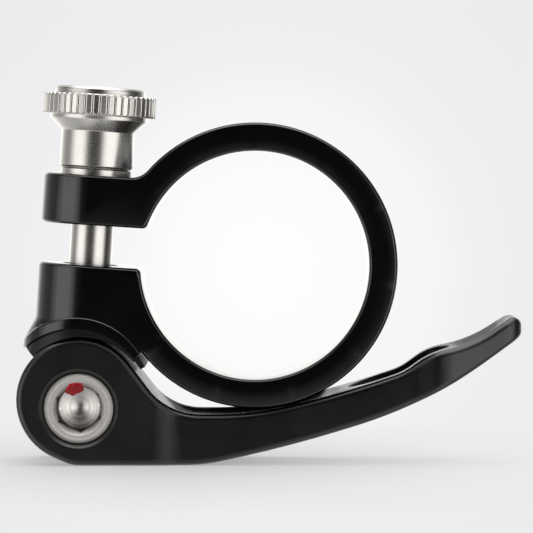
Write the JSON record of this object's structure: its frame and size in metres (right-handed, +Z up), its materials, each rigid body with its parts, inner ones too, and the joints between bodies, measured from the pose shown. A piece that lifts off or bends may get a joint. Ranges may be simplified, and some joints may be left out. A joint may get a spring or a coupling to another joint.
{
  "type": "quick-release seatpost clamp",
  "caption": "Split-ring seat tube clamp with a cam lever, a cross barrel, a clamping stud and a knurled thumb nut.",
  "frame": {"origin": "centre of the seat tube bore, halfway through the collar's depth", "axes": "+Z up as it stands on the lever's belly, +Y along the bore towards the back, +X towards the lever's tip"},
  "size_m": [0.0708, 0.016, 0.0533],
  "materials": {
    "black_anodised": "satin",
    "bright_steel": "polished",
    "pad_plastic": "matte"
  },
  "bodies": {
    "collar": {"collar": "black_anodised", "cam_pad": "pad_plastic"},
    "stud": {"stud": "bright_steel", "pivot_barrel": "bright_steel"},
    "lever": {"lever": "black_anodised"},
    "washer": {"seat_washer": "bright_steel"},
    "nut": {"thumb_nut": "bright_steel"}
  },
  "joints": [
    {"name": "stud_lift", "type": "slide", "parent": "collar", "child": "stud", "axis": [0.0628, 0, 0.998], "range_m": [0, 0.0007]},
    {"name": "lever_swing", "type": "hinge", "parent": "stud", "child": "lever", "pos_m": [-0.0246, 0, -0.01996], "axis": [0, 1, 0], "range_deg": [0, 160]},
    {"name": "nut_travel", "type": "slide", "parent": "stud", "child": "washer", "axis": [0.0628, 0, 0.998], "range_m": [0, 0.00401]},
    {"name": "nut_turn", "type": "hinge", "parent": "washer", "child": "nut", "pos_m": [-0.02325, 0, 0.00146], "axis": [0.0628, 0, 0.998], "range_deg": [0, 1440]}
  ],
  "couplings": [
    {"joint": "stud_lift", "follows": "lever_swing", "m_per_rad": 0.00025},
    {"joint": "nut_travel", "follows": "nut_turn", "m_per_rad": 0.00015915}
  ]
}
